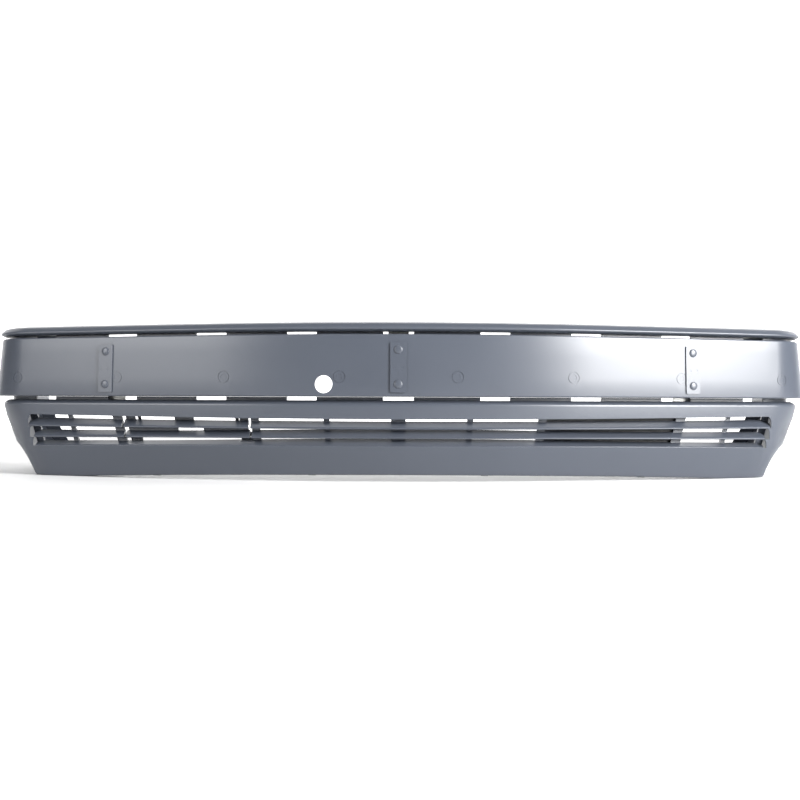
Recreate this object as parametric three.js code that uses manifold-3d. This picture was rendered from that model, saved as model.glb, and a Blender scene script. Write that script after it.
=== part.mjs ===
// Front bumper cover of a mid-size saloon: an upper lip, a flat centre band and a lower
// valance with a louvred grille, tied together by three riveted steel holders. A panel of
// the grille is a flap that tips outwards to reach the towing eye.
// Millimetres, +Z up. The visible side faces -Y and z = 0 is the lowest edge of the cover.

import * as THREE from 'three';
import { mergeVertices } from 'three/addons/utils/BufferGeometryUtils.js';
import Module from 'manifold-3d';

const wasm = await Module();
wasm.setup();

// ---- driving dimensions ----

const wall = 3;
const gap = 0.3;

// The plan of the cover, from the middle to one end: a gentle nose, an almost straight
// flank, a tight corner and a straight wing. Headings are degrees turned since the nose.
const plan = {
  noseRadius: 1450,
  noseHeading: 15.5,
  flankRadius: 9000,
  flankHeading: 18.27,
  cornerRadius: 120,
  wingLength: 281,
};
const wheelArch = { behindNose: 835, height: 110, radius: 348, facets: 96 };

// Sections are given as [out, up]: out is measured from the plan line, up from the ground.
const lip = { top: 321, bottom: 300, flange: 72, groove: 34 };
const band = { top: 294.5, bottom: 171, lean: 4, groove: 34, cornerIn: 5, cornerOut: 5 };
const valance = { top: 164, groove: 36, arch: 15, archHalf: 700, flange: 60 };
const tuck = { depth: 66, from: 157, power: 1.6, before: 30, after: 90 };

// The grille: slats between a top edge and a ledge. Rows spread apart towards the corners
// and their ends lean inwards lower down.
const grille = { top: 126.8, ledge: 73.5, halfWidth: 797, face: -9, lean: 0.0005 };
// In the middle the rear edges of the slats are higher, which all but closes the rows there.
const rearLift = { upper: 1, lower: 5, from: 120, to: 560, low: 66, split: 110, high: 140 };
const slats = [
  { name: 'upper', rear: 121.3, front: 106.7 },
  { name: 'lower', rear: 101.2, front: 88.6 },
];

const windowHeight = 9;
const windows = [
  { at: 0, width: 62 },
  { at: 197, width: 62 },
  { at: 388.5, width: 68 },
  { at: 586, width: 69 },
  { at: 766, width: 51 },
];
const padAt = [-606, 0, 606];
const pad = { width: 32, height: 98.8, thick: 2.5, middle: 228.7 };
const rivet = { upper: 263.4, lower: 195.7, shank: 3, head: 8.5, rise: 2.2 };
const dimple = { at: [116, 349, 581.5, 814], height: 210, outer: 12, inner: 6, depth: 0.8 };
const sensorHole = { at: -146.5, height: 195.5, radius: 17.5 };
const holder = { width: 41, steel: 2.5, back: 75, arm: 38, boltRadius: 4.5 };
const flap = { outer: -577.5, inner: -305.2, slot: 4.9, pivotOut: -16.5, pivotHeight: 90.5 };
const pin = { radius: 1.5, boss: 3.4, bossLength: 9 };
const blank = { from: 288, to: 599, front: -37, thick: 2 };
const guide = { from: 992, to: 1146, low: 206, high: 262, edge: -20, splay: 3 };
const undertrayNutAt = [-520, -180, 180, 520];

// ---- materials ----

const primer = () => new THREE.MeshStandardMaterial({ color: 0x80868f, roughness: 0.42, metalness: 0.15 });
const steel = () => new THREE.MeshStandardMaterial({ color: 0x8c8f92, roughness: 0.4, metalness: 0.9 });
const blackPlastic = () => new THREE.MeshStandardMaterial({ color: 0x191a1c, roughness: 0.6, metalness: 0 });
const springSteel = () => new THREE.MeshStandardMaterial({ color: 0x34373b, roughness: 0.5, metalness: 0.8 });

// ---- the plan line ----

const radians = THREE.MathUtils.degToRad;
const arcs = [
  { radius: plan.noseRadius, end: radians(plan.noseHeading), pieces: 7 },
  { radius: plan.flankRadius, end: radians(plan.flankHeading), pieces: 5 },
  { radius: plan.cornerRadius, end: radians(90), pieces: 9 },
];
const wingPieces = 3;

// Where the plan line is after a length s, and which way it heads there.
function planAt(s) {
  const side = Math.sign(s) || 1;
  let left = Math.abs(s);
  let heading = 0;
  let x = 0;
  let y = 0;
  for (const arc of arcs) {
    const turn = Math.min(left / arc.radius, arc.end - heading);
    x += arc.radius * (Math.sin(heading + turn) - Math.sin(heading));
    y += arc.radius * (Math.cos(heading) - Math.cos(heading + turn));
    heading += turn;
    left -= turn * arc.radius;
    if (left < 1e-9) break;
  }
  x += left * Math.cos(heading);
  y += left * Math.sin(heading);
  return { x: side * x, y, heading: side * heading };
}

// The lengths at which a bar along the whole half plan is divided.
function halfStations() {
  const list = [0];
  let heading = 0;
  for (const arc of arcs) {
    const length = (arc.end - heading) * arc.radius;
    const start = list.at(-1);
    for (let i = 1; i <= arc.pieces; i += 1) list.push(start + (length * i) / arc.pieces);
    heading = arc.end;
  }
  const corner = list.at(-1);
  for (let i = 1; i <= wingPieces; i += 1) list.push(corner + (plan.wingLength * i) / wingPieces);
  return list;
}

const half = halfStations();
const stations = [...half.slice(1).map((s) => -s).reverse(), ...half];
const reach = half.at(-1);
const cornerStart = half[arcs[0].pieces + arcs[1].pieces];
const cornerEnd = cornerStart + plan.cornerRadius * (radians(90) - radians(plan.flankHeading));

// The length along the plan line at which it passes a given x on the nose or flank.
function lengthAt(x) {
  const noseEnd = planAt(half[arcs[0].pieces]);
  const ax = Math.abs(x);
  if (ax <= noseEnd.x) return Math.sign(x) * plan.noseRadius * Math.asin(ax / plan.noseRadius);
  const sine = Math.sin(noseEnd.heading) + (ax - noseEnd.x) / plan.flankRadius;
  const along = plan.flankRadius * (Math.asin(sine) - noseEnd.heading);
  return Math.sign(x) * (half[arcs[0].pieces] + along);
}

const cornerShare = (s) => THREE.MathUtils.smoothstep(Math.abs(s), cornerStart, cornerEnd);

// ---- how each moulding departs from a plain bent bar ----

const noChange = (s, out, up) => [s, out, up];

// Around the corners the band leans: its top edge comes in and its bottom edge goes out.
function bandForm(s, out, up) {
  const low = (band.top - up) / (band.top - band.bottom);
  return [s, out + cornerShare(s) * THREE.MathUtils.lerp(-band.cornerIn, band.cornerOut, low), up];
}

// The rows of the grille spread apart outwards: lower ones sink, the top edge climbs.
function fanShift(up) {
  const knots = [[0, 0], [78, -8.8], [127, 5.7], [157, 0]];
  if (up <= 0 || up >= 157) return 0;
  const i = knots.findIndex(([height]) => height > up);
  const [h0, d0] = knots[i - 1];
  const [h1, d1] = knots[i];
  return d0 + ((d1 - d0) * (up - h0)) / (h1 - h0);
}

// How far the grille's rear edges are lifted in the middle of the cover.
function liftAt(x, out, up) {
  if (up < rearLift.low || up > rearLift.high) return 0;
  const most = up > rearLift.split ? rearLift.upper : rearLift.lower;
  const middle = 1 - THREE.MathUtils.smoothstep(Math.abs(x), rearLift.from, rearLift.to);
  return most * middle * THREE.MathUtils.clamp((-out - 12) / 21, 0, 1);
}

// The valance tucks in low at its corners and its bottom edge arches up in the middle.
function valanceForm(s, out, up) {
  const drop = THREE.MathUtils.clamp((tuck.from - up) / tuck.from, 0, 1);
  const turned = THREE.MathUtils.smoothstep(Math.abs(s), cornerStart - tuck.before, cornerStart + tuck.after);
  const tucked = out - turned * tuck.depth * drop ** tuck.power;
  const x = planAt(s).x;
  const fan = Math.min(1, (x / grille.halfWidth) ** 2) * (1 - cornerShare(s));
  const archRise = valance.arch * Math.max(0, 1 - (x / valance.archHalf) ** 2);
  const archShare = Math.max(0, 1 - up / 66);
  const height = up + fan * fanShift(up) + archRise * archShare + liftAt(x, out, up);
  return [s, Math.max(tucked, 4 - plan.cornerRadius), height];
}

// Parts of the grille follow the valance, but their ends run straight back, parallel to the
// car's length, and lean inwards lower down.
function grilleForm(s, out, up) {
  const leaned = s * (1 - grille.lean * (grille.top - up));
  return valanceForm(leaned - (out - grille.face) * Math.tan(planAt(leaned).heading), out, up);
}

function pointOf(form, s, out, up) {
  const [length, outward, height] = form(s, out, up);
  const { x, y, heading } = planAt(length);
  return new THREE.Vector3(x + outward * Math.sin(heading), y - outward * Math.cos(heading), height);
}

// ---- solids ----

function solidOf(geometry) {
  geometry.deleteAttribute('normal');
  geometry.deleteAttribute('uv');
  const merged = mergeVertices(geometry, 1e-4);
  return new wasm.Manifold(new wasm.Mesh({
    numProp: 3,
    vertProperties: new Float32Array(merged.attributes.position.array),
    triVerts: new Uint32Array(merged.index.array),
  }));
}

function meshOf(name, solid, material) {
  const { vertProperties, triVerts, numProp } = solid.getMesh();
  if (numProp !== 3) throw new Error(`${name}: unexpected vertex data`);
  const geometry = new THREE.BufferGeometry();
  geometry.setAttribute('position', new THREE.BufferAttribute(new Float32Array(vertProperties), 3));
  geometry.setIndex(new THREE.BufferAttribute(new Uint32Array(triVerts), 1));
  geometry.computeVertexNormals();
  const mesh = new THREE.Mesh(geometry, material);
  mesh.name = name;
  return mesh;
}

const joined = (solids) => solids.reduce((all, solid) => all.add(solid));
const without = (solid, cutters) => cutters.reduce((left, cutter) => left.subtract(cutter), solid);
const shapeOf = (points) => new THREE.Shape(points.map(([out, up]) => new THREE.Vector2(out, up)));

// A section of even thickness: the outer line from its top end, and the same line moved
// inwards, which is to the right of the way it runs.
function wallShape(line, thick = wall) {
  const points = line.map(([out, up]) => new THREE.Vector2(out, up));
  const normals = points.slice(1).map((point, i) => {
    const run = point.clone().sub(points[i]).normalize();
    return new THREE.Vector2(run.y, -run.x);
  });
  const inner = points.map((point, i) => {
    const before = normals[Math.max(i - 1, 0)];
    const after = normals[Math.min(i, normals.length - 1)];
    const move = before.clone().add(after).divideScalar(1 + before.dot(after));
    return point.clone().addScaledVector(move, thick);
  });
  return new THREE.Shape([...points, ...inner.reverse()]);
}

// A bar with one section along the plan line from one length to another.
function bar(shape, from = -reach, to = reach, form = noChange) {
  const inside = stations.filter((s) => s > from + 1 && s < to - 1);
  const lengths = [from, ...inside, to].reverse();
  const steps = lengths.length - 1;
  const geometry = new THREE.ExtrudeGeometry(shape, { depth: steps, steps, bevelEnabled: false });
  const position = geometry.attributes.position;
  for (let i = 0; i < position.count; i += 1) {
    const s = lengths[Math.round(position.getZ(i))];
    position.setXYZ(i, ...pointOf(form, s, position.getX(i), position.getY(i)).toArray());
  }
  return solidOf(geometry);
}

// Turns a geometry made about the origin, facing -Y, to stand on the cover at a length s.
function placed(geometry, s, out, up, tilt = 0) {
  const { heading } = planAt(s);
  const spot = pointOf(noChange, s, out, up);
  geometry.rotateX(-tilt);
  geometry.rotateZ(heading);
  geometry.translate(spot.x, spot.y, spot.z);
  return solidOf(geometry);
}

// A straight piece with a section in [out, up], as wide as given, standing at a length s.
function straight(shape, width, s) {
  const geometry = new THREE.ExtrudeGeometry(shape, { depth: width, steps: 1, bevelEnabled: false });
  geometry.translate(0, 0, -width / 2);
  geometry.rotateX(Math.PI / 2);
  geometry.rotateZ(-Math.PI / 2);
  return placed(geometry, s, 0, 0);
}

// A turned piece whose axis points outwards; profile points are [radius, out].
function turned(profile, segments, s, out, up, tilt = 0) {
  const geometry = new THREE.LatheGeometry(profile.map(([r, y]) => new THREE.Vector2(r, y)), segments);
  geometry.rotateX(Math.PI);
  return placed(geometry, s, out, up, tilt);
}

function rod(radius, segments, s, out, up, depth, tilt = 0) {
  return placed(new THREE.CylinderGeometry(radius, radius, depth, segments), s, out, up, tilt);
}

// ---- the three mouldings ----

function archCylinder(radius) {
  const geometry = new THREE.CylinderGeometry(radius, radius, 2400, wheelArch.facets);
  geometry.rotateZ(Math.PI / 2);
  geometry.translate(0, wheelArch.behindNose, wheelArch.height);
  return solidOf(geometry);
}

const archCut = archCylinder(wheelArch.radius);

// A bent moulding of even thickness. At each wheel arch its edge turns in as a flange, which
// is as deep as the section itself.
function moulding(line, form) {
  const rim = archCylinder(wheelArch.radius + wall);
  const ends = [[-reach, -cornerEnd], [cornerEnd, reach]].map(([from, to]) => (
    bar(shapeOf(line), from, to, form).intersect(rim)));
  return joined([bar(wallShape(line), -reach, reach, form), ...ends]);
}

const bothSides = (list) => list.flatMap((item) => (item.at === 0 ? [item] : [item, { ...item, at: -item.at }]));

// Slots for the clips of a trim strip, cut through the land that closes a groove.
const slotCutters = (middle) => bothSides(windows).map(({ at, width }) => {
  const s = lengthAt(at);
  const geometry = new THREE.BoxGeometry(width, 90, windowHeight);
  return placed(geometry, s, -20, middle);
});

function landBar(low, high, form = noChange) {
  return bar(shapeOf([[-26, low], [-26, high], [-30, high], [-30, low]]), -reach + 2, reach - 2, form);
}

function upperLip() {
  const outer = [
    [-lip.flange, lip.top],
    [-30, lip.top],
    [-10, 316.5],
    [-1.5, 308.5],
    [0, 306],
    [-1.5, 303.8],
    [-9, lip.bottom],
    [-lip.groove, lip.bottom],
  ];
  const land = without(landBar(band.top + gap, lip.bottom + 1), slotCutters((band.top + lip.bottom) / 2));
  return joined([moulding(outer, noChange), land]).subtract(archCut);
}

const bandFace = (up) => (band.lean * (band.top - up)) / (band.top - band.bottom);
const bandTilt = Math.atan(band.lean / (band.top - band.bottom));

function centreBand() {
  const outer = [
    [-band.groove, band.top],
    [-2, band.top],
    [bandFace(292.5), 292.5],
    [bandFace(173), 173],
    [2, band.bottom],
    [-band.groove, band.bottom],
  ];
  const rivetHoles = padAt.flatMap((x) => [rivet.upper, rivet.lower].map((up) => (
    rod(rivet.shank + gap, 12, lengthAt(x), bandFace(up), up, 30, bandTilt))));
  const ring = [
    [dimple.inner, -dimple.depth],
    [dimple.outer, -dimple.depth],
    [dimple.outer, 1],
    [dimple.inner, 1],
    [dimple.inner, -dimple.depth],
  ];
  const dimples = [...dimple.at, ...dimple.at.map((x) => -x)].map((x) => (
    turned(ring, 16, lengthAt(x), bandFace(dimple.height), dimple.height, bandTilt)));
  const sensor = rod(sensorHole.radius, 32, lengthAt(sensorHole.at), 0, sensorHole.height, 40);
  const sideHoles = guideRivets().map(({ s, out, up, tilt }) => rod(2.5 + gap, 12, s, out, up, 30, tilt));
  const openings = [...rivetHoles, ...dimples, sensor, ...sideHoles];
  return without(moulding(outer, bandForm), [...openings, archCut]);
}

// One slat: its rear edge is high and its front edge low and rounded.
function slatShape({ rear, front }) {
  return shapeOf([
    [-33, rear],
    [-11.2, front + 4.4],
    [-8.8, front + 2.4],
    [-8.6, front + 0.9],
    [-9.8, front],
    [-12.4, front + 1],
    [-34.6, rear - 2.8],
  ]);
}

const ledgeShape = () => shapeOf([
  [-33, 82.7],
  [-12, 75.6],
  [-9.5, 73.9],
  [-10.7, 70.5],
  [-12.7, 70.5],
  [-13.8, 72.8],
  [-34.2, 79.9],
]);

// Upright webs carry the slats from behind. Each is given by the x at which it starts and ends.
const webs = [
  [-14.5, 14.5],
  [138.5, 150.5],
  [284, 301],
  [583, 605],
  [698.5, 709.5],
  [783.5, 803],
];

function webBars() {
  const section = shapeOf([[-36.5, 68], [-30, 68], [-30, 131], [-36.5, 131]]);
  const mirrored = webs.slice(1).map(([from, to]) => [-to, -from]);
  return [...webs, ...mirrored].map(([from, to]) => bar(section, lengthAt(from), lengthAt(to), grilleForm));
}

// Closing tabs behind the flap: they hang from the skin above it or stand on the ledge.
function strikeTabs() {
  const hanging = wallShape([[-9.5, 136], [-41, 136], [-41, 113]].reverse(), wall);
  const standing = wallShape([[-24, 80.6], [-41, 80.6], [-41, 97]].reverse(), wall);
  const upper = [[-577, -555], [-467, -424.5], [-326, -306.5]];
  const lower = [[-576, -549], [-328, -301]];
  return [
    ...upper.map(([from, to]) => bar(hanging, lengthAt(from), lengthAt(to), grilleForm)),
    ...lower.map(([from, to]) => bar(standing, lengthAt(from), lengthAt(to), grilleForm)),
  ];
}

const pivotEnds = () => [flap.outer - flap.slot, flap.inner + flap.slot].map((x) => (
  pointOf(grilleForm, lengthAt(x), flap.pivotOut, flap.pivotHeight)));

// A round bar along the flap's hinge line between two distances from its outer end.
function alongHinge(radius, segments, from, to) {
  const [start, end] = pivotEnds();
  const way = end.clone().sub(start).normalize();
  const geometry = new THREE.CylinderGeometry(radius, radius, to - from, segments);
  geometry.applyQuaternion(new THREE.Quaternion().setFromUnitVectors(new THREE.Vector3(0, 1, 0), way));
  const middle = start.clone().addScaledVector(way, (from + to) / 2);
  geometry.translate(middle.x, middle.y, middle.z);
  return solidOf(geometry);
}

const hingeSpan = () => {
  const [start, end] = pivotEnds();
  return start.distanceTo(end);
};

function lowerValance() {
  const outer = [
    [-valance.groove, valance.top],
    [-18, valance.top],
    [-8.5, 158.8],
    [-6.3, 155],
    [-8, grille.top],
    [-9, 74],
    [-33.5, 4],
    [-37, 0],
    [-valance.flange, 0],
  ];
  const end = lengthAt(grille.halfWidth);
  const mouth = bar(shapeOf([[-22, grille.ledge], [12, grille.ledge], [12, grille.top], [-22, grille.top]]),
    -end, end, grilleForm);
  const land = without(landBar(valance.top - 1, band.bottom - gap), slotCutters((valance.top + band.bottom) / 2));
  const bladeEnd = lengthAt(800);
  const blades = slats.flatMap((slat) => [
    bar(slatShape(slat), -bladeEnd, lengthAt(flap.outer - flap.slot), grilleForm),
    bar(slatShape(slat), lengthAt(flap.inner + flap.slot), bladeEnd, grilleForm),
  ]);
  const ledge = bar(ledgeShape(), -bladeEnd, bladeEnd, grilleForm);
  const span = hingeSpan();
  const bosses = [alongHinge(pin.boss, 16, -pin.bossLength, 0), alongHinge(pin.boss, 16, span, span + pin.bossLength)];
  const pinHole = alongHinge(pin.radius + gap, 16, -7, span + 7);
  const nutHoles = undertrayNutAt.map((x) => undertrayRod(x, 3.5, 40));
  const skin = moulding(outer, valanceForm).subtract(mouth);
  const body = joined([skin, ledge, land, ...blades, ...webBars(), ...strikeTabs(), ...bosses]);
  return without(body, [pinHole, ...nutHoles, archCut]);
}

// ---- the towing-eye flap ----

function towEyeFlap() {
  const from = lengthAt(flap.outer);
  const to = lengthAt(flap.inner);
  const blades = slats.map((slat) => bar(slatShape(slat), from, to, grilleForm));
  const plate = shapeOf([[-35.2, 99.5], [-32.4, 99.5], [-32.4, 119.5], [-35.2, 119.5]]);
  const plates = [[-574, -461], [-406, -308]].map(([a, b]) => bar(plate, lengthAt(a), lengthAt(b), grilleForm));
  const span = hingeSpan();
  const inset = flap.slot + 1.5;
  const bosses = [
    alongHinge(pin.boss, 16, inset, inset + pin.bossLength),
    alongHinge(pin.boss, 16, span - inset - pin.bossLength, span - inset),
  ];
  const pinHoles = [
    alongHinge(pin.radius + gap, 16, 0, inset + 7),
    alongHinge(pin.radius + gap, 16, span - inset - 7, span),
  ];
  return without(joined([...blades, ...plates, ...bosses]), pinHoles);
}

function hingePins() {
  const span = hingeSpan();
  const length = flap.slot + 1.5 + 6;
  return [
    ['flap_hinge_pin_outer', alongHinge(pin.radius, 16, -6, length)],
    ['flap_hinge_pin_inner', alongHinge(pin.radius, 16, span - length, span + 6)],
  ];
}

// A leaf that hangs from behind the skin and grips the rear edge of the flap's upper slat.
function flapClip(x) {
  const leaf = wallShape([[-37.6, 117], [-40.6, 122], [-36.5, 134], [-12.5, 131.6]], 1.4);
  const s = lengthAt(x);
  return bar(leaf, s - 4, s + 4, grilleForm);
}

// ---- plates, rivets and steel ----

function mountingPad(x) {
  const geometry = new THREE.BoxGeometry(pad.width, pad.thick, pad.height);
  const s = lengthAt(x);
  const out = bandFace(pad.middle) + gap + pad.thick / 2;
  const holes = [rivet.upper, rivet.lower].map((up) => rod(rivet.shank + gap, 12, s, out, up, 20, bandTilt));
  return without(placed(geometry, s, out, pad.middle, bandTilt), holes);
}

function padRivet(x, up) {
  const front = gap * 2 + pad.thick;
  const back = -(wall + 0.4 + holder.steel + gap);
  const profile = [
    [0, back - 2],
    [4.6, back - 2],
    [4.6, back],
    [rivet.shank, back],
    [rivet.shank, front],
    [rivet.head, front],
    [rivet.head * 0.82, front + rivet.rise * 0.7],
    [0, front + rivet.rise],
  ];
  return turned(profile, 16, lengthAt(x), bandFace(up), up, bandTilt);
}

// Steel strip folded to lie behind the band. The middle holder sends an arm up behind the
// lip and the outer two send one down behind the valance; each has a foot for its carrier.
function holderShape(armUp) {
  const behind = (up) => bandFace(up) - wall - 0.4;
  const high = 288;
  const low = 181;
  const face = [[behind(high), high], [behind(low), low]];
  const line = armUp
    ? [[-holder.arm, 314], [-holder.arm, high], ...face, [-holder.back, low], [-holder.back, low + 52]]
    : [[-holder.back, high - 52], [-holder.back, high], ...face, [-holder.arm, low], [-holder.arm, 142]];
  return wallShape(line, holder.steel);
}

function holderBracket(x) {
  const armUp = x === 0;
  const s = lengthAt(x);
  const strip = straight(holderShape(armUp), holder.width, s);
  const footHeight = armUp ? 212 : 256;
  const holes = [rivet.upper, rivet.lower].map((up) => rod(rivet.shank + gap, 12, s, bandFace(up) - 6, up, 14, bandTilt));
  const bolt = rod(holder.boltRadius, 20, s, -holder.back, footHeight, 12);
  return without(strip, [...holes, bolt]);
}

// A plain panel closes the grille from behind on the side that has no towing eye.
function blankingPanel() {
  const rear = blank.front - blank.thick;
  const section = shapeOf([[blank.front, 69], [blank.front, 132], [rear, 132], [rear, 69]]);
  const panel = bar(section, lengthAt(blank.from), lengthAt(blank.to), grilleForm);
  return without(panel, blankScrewSpots().map(({ s, up }) => rod(1.5 + gap, 12, s, rear, up, 12)));
}

const blankScrewSpots = () => [296, 590].flatMap((x) => [118, 84].map((up) => (
  { s: grilleForm(lengthAt(x), blank.front, up)[0], up })));

function blankScrew({ s, up }) {
  const rear = blank.front - blank.thick - gap;
  const profile = [[0, rear - 2.2], [3.6, rear - 1.6], [4, rear], [1.5, rear], [1.5, rear + 2], [0, rear + 2]];
  return turned(profile, 12, s, 0, up);
}

// ---- inside the wings and under the valance ----

// A steel rail whose lower flange splays downwards, so that it opens as wide as its web.
function sideGuide(side) {
  const inner = (up) => bandFace(up) - wall - 0.4;
  const splayed = guide.low - guide.splay;
  const section = shapeOf([
    [inner(guide.high), guide.high],
    [inner(guide.low), guide.low],
    [guide.edge, splayed],
    [guide.edge, splayed + wall],
    [inner(guide.low) - wall, guide.low + wall],
    [inner(guide.high) - wall, guide.high - wall],
    [guide.edge, guide.high - wall],
    [guide.edge, guide.high],
  ]);
  const ends = [side * guide.from, side * guide.to].sort((a, b) => a - b);
  const holes = guideRivets().filter(({ s }) => Math.sign(s) === side)
    .map(({ s, out, up, tilt }) => rod(2.5 + gap, 12, s, out, up, 30, tilt));
  return without(bar(section, ...ends, bandForm), holes);
}

function guideRivets() {
  const up = 234;
  const tilt = Math.atan((band.lean + band.cornerIn + band.cornerOut) / (band.top - band.bottom));
  return [-1, 1].flatMap((side) => [guide.from + 22, guide.to - 22].map((length) => {
    const s = side * length;
    return { s, out: bandForm(s, bandFace(up), up)[1], up, tilt };
  }));
}

function guideRivet({ s, out, up, tilt }) {
  const back = -(2 * wall + 0.4 + gap);
  const profile = [
    [0, back - 1.6],
    [4, back - 1.6],
    [4, back],
    [2.5, back],
    [2.5, gap],
    [6.5, gap],
    [5, gap + 1.6],
    [0, gap + 2.1],
  ];
  return turned(profile, 14, s, out, up, tilt);
}

const undertraySpot = (x) => pointOf(valanceForm, lengthAt(x), 9 - valance.flange, 0);

function undertrayRod(x, radius, height) {
  const spot = undertraySpot(x);
  const geometry = new THREE.CylinderGeometry(radius, radius, height, 16);
  geometry.rotateX(Math.PI / 2);
  geometry.translate(spot.x, spot.y, spot.z);
  return solidOf(geometry);
}

// A folded sheet nut pushed over the rear edge of the valance's bottom flange.
function undertrayNut(x) {
  const sheet = 0.8;
  const rear = -valance.flange - sheet - 0.6;
  const low = valanceForm(lengthAt(x), 9 - valance.flange, 0)[2] - gap;
  const high = valanceForm(lengthAt(x), 9 - valance.flange, wall)[2] + gap;
  const line = [[rear + 20, high + sheet], [rear, high + sheet], [rear, low - sheet], [rear + 16, low - sheet]];
  const clip = straight(wallShape([...line].reverse(), sheet), 15, lengthAt(x));
  return without(clip, [undertrayRod(x, 2.6, 40)]);
}

// ---- the assembly ----

const cover = new THREE.Group();
cover.add(meshOf('upper_lip', upperLip(), primer()));
cover.add(meshOf('centre_band', centreBand(), primer()));
cover.add(meshOf('lower_valance', lowerValance(), primer()));
cover.add(meshOf('tow_eye_flap', towEyeFlap(), primer()));
for (const [name, solid] of hingePins()) cover.add(meshOf(name, solid, steel()));
cover.add(meshOf('flap_clip_outer', flapClip(-546), blackPlastic()));
cover.add(meshOf('flap_clip_inner', flapClip(-331), blackPlastic()));

['left', 'centre', 'right'].forEach((place, i) => {
  const x = padAt[i];
  cover.add(meshOf(`mounting_pad_${place}`, mountingPad(x), primer()));
  cover.add(meshOf(`pad_rivet_${place}_upper`, padRivet(x, rivet.upper), primer()));
  cover.add(meshOf(`pad_rivet_${place}_lower`, padRivet(x, rivet.lower), primer()));
  cover.add(meshOf(`holder_bracket_${place}`, holderBracket(x), steel()));
});

cover.add(meshOf('louvre_blanking_panel', blankingPanel(), blackPlastic()));
blankScrewSpots().forEach((spot, i) => cover.add(meshOf(`blanking_screw_${i + 1}`, blankScrew(spot), steel())));

cover.add(meshOf('side_guide_left', sideGuide(-1), steel()));
cover.add(meshOf('side_guide_right', sideGuide(1), steel()));
guideRivets().forEach((spot, i) => cover.add(meshOf(`guide_rivet_${i + 1}`, guideRivet(spot), steel())));
undertrayNutAt.forEach((x, i) => cover.add(meshOf(`undertray_nut_${i + 1}`, undertrayNut(x), springSteel())));

// The origin is under the middle of the cover's box, at the height of its lowest edge.
const box = new THREE.Box3().setFromObject(cover);
const middle = box.getCenter(new THREE.Vector3());
cover.position.set(-middle.x, -middle.y, -box.min.z);
cover.updateMatrixWorld(true);

export default cover;
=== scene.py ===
import math
import bpy
import bmesh
from mathutils import Matrix, Vector


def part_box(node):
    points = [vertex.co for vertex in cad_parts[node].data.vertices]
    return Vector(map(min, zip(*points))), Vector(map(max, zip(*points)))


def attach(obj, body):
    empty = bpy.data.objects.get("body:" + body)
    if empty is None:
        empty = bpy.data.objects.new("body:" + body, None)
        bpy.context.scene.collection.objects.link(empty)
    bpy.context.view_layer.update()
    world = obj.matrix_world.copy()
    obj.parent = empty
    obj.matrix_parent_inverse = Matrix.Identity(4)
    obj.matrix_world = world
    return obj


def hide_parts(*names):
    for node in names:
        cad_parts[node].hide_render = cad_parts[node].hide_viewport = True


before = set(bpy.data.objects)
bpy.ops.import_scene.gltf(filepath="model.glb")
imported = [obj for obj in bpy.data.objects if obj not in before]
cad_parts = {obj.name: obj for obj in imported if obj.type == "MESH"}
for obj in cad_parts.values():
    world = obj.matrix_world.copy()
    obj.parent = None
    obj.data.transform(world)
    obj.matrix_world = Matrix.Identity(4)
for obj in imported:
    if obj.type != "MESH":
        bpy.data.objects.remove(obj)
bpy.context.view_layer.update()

mm = 0.001
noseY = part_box("upper_lip")[0][1]

# The line that every long moulding follows: three arcs and a straight wing, in mm.
planLine = {
    "arcs": [  # radius, heading at its end in degrees, pieces it is drawn with
        (1450, 15.5, 26),
        (9000, 18.27, 16),
        (120, 90, 18),
    ],
    "wing": 281,
    "wingPieces": 3,
    "archBehindNose": 835,
    "archHeight": 110,
    "archRadius": 348,
}


def planAt(s):
    # where the line is after a length s from the middle, and its heading
    side = -1 if s < 0 else 1
    left = abs(s)
    heading = x = y = 0.0
    for radius, end, pieces in planLine["arcs"]:
        turn = min(left / radius, math.radians(end) - heading)
        x += radius * (math.sin(heading + turn) - math.sin(heading))
        y += radius * (math.cos(heading) - math.cos(heading + turn))
        heading += turn
        left -= turn * radius
        if left < 1e-9:
            break
    x += left * math.cos(heading)
    y += left * math.sin(heading)
    return side * x, y, side * heading


def halfStations():
    places = [0.0]
    heading = 0.0
    for radius, end, pieces in planLine["arcs"]:
        length = (math.radians(end) - heading) * radius
        start = places[-1]
        places += [start + length * (i + 1) / pieces for i in range(pieces)]
        heading = math.radians(end)
    start = places[-1]
    step = planLine["wing"] / planLine["wingPieces"]
    return places + [start + step * (i + 1) for i in range(planLine["wingPieces"])]


stations = halfStations()
reach = stations[-1]
noseEnd = stations[planLine["arcs"][0][2]]
cornerStart = stations[planLine["arcs"][0][2] + planLine["arcs"][1][2]]
cornerEnd = stations[-1 - planLine["wingPieces"]]


def lengthAt(x):
    # length along the line at which it passes x on the nose or the flank
    noseX = planAt(noseEnd)[0]
    noseHeading = planAt(noseEnd)[2]
    noseRadius = planLine["arcs"][0][0]
    flankRadius = planLine["arcs"][1][0]
    if abs(x) <= noseX:
        return math.copysign(1, x) * noseRadius * math.asin(abs(x) / noseRadius)
    sine = math.sin(noseHeading) + (abs(x) - noseX) / flankRadius
    return math.copysign(1, x) * (noseEnd + flankRadius * (math.asin(sine) - noseHeading))


def ease(value, start, end):
    t = min(1, max(0, (value - start) / (end - start)))
    return t * t * (3 - 2 * t)


def cornerShare(s):
    return ease(abs(s), cornerStart, cornerEnd)


# ---- how each moulding leaves the plain bent bar ----

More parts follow.
